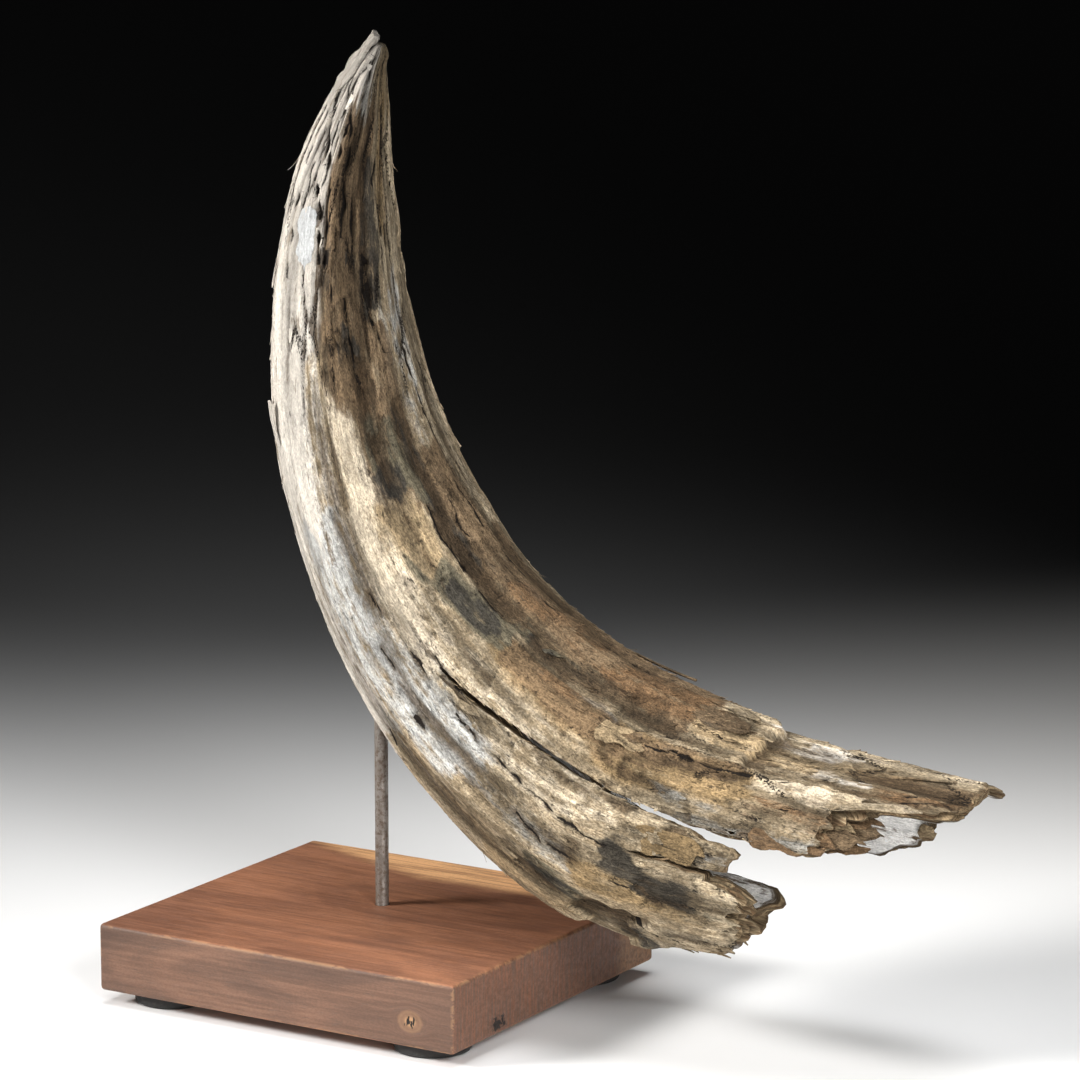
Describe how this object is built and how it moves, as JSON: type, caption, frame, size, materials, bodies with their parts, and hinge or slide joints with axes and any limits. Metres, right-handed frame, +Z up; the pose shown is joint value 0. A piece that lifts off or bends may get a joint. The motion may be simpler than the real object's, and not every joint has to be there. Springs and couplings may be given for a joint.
{
  "type": "fossil bison horn sheath on a stand",
  "caption": "Weathered, split fossil horn sheath curving up to a point, held by a thin steel rod on a square-edged walnut block with rubber feet, for display on a shelf.",
  "frame": {"origin": "middle of the whole object's footprint box, on the surface that it stands on", "axes": "+Z up, +X along the block's front edge towards the horn's broken mouth, +Y from the block's front to its back"},
  "size_m": [0.3178, 0.138, 0.3506],
  "materials": {
    "horn": "dry weathered fibrous horn, matt",
    "steel": "bare dull oxidised steel rod",
    "walnut": "oiled walnut, satin",
    "rubber": "matt black"
  },
  "bodies": {
    "root": {"horn_sheath": "horn", "support_rod": "steel", "base_block": "walnut", "foot_front_left": "rubber", "foot_front_right": "rubber", "foot_back_left": "rubber", "foot_back_right": "rubber"}
  },
  "joints": []
}
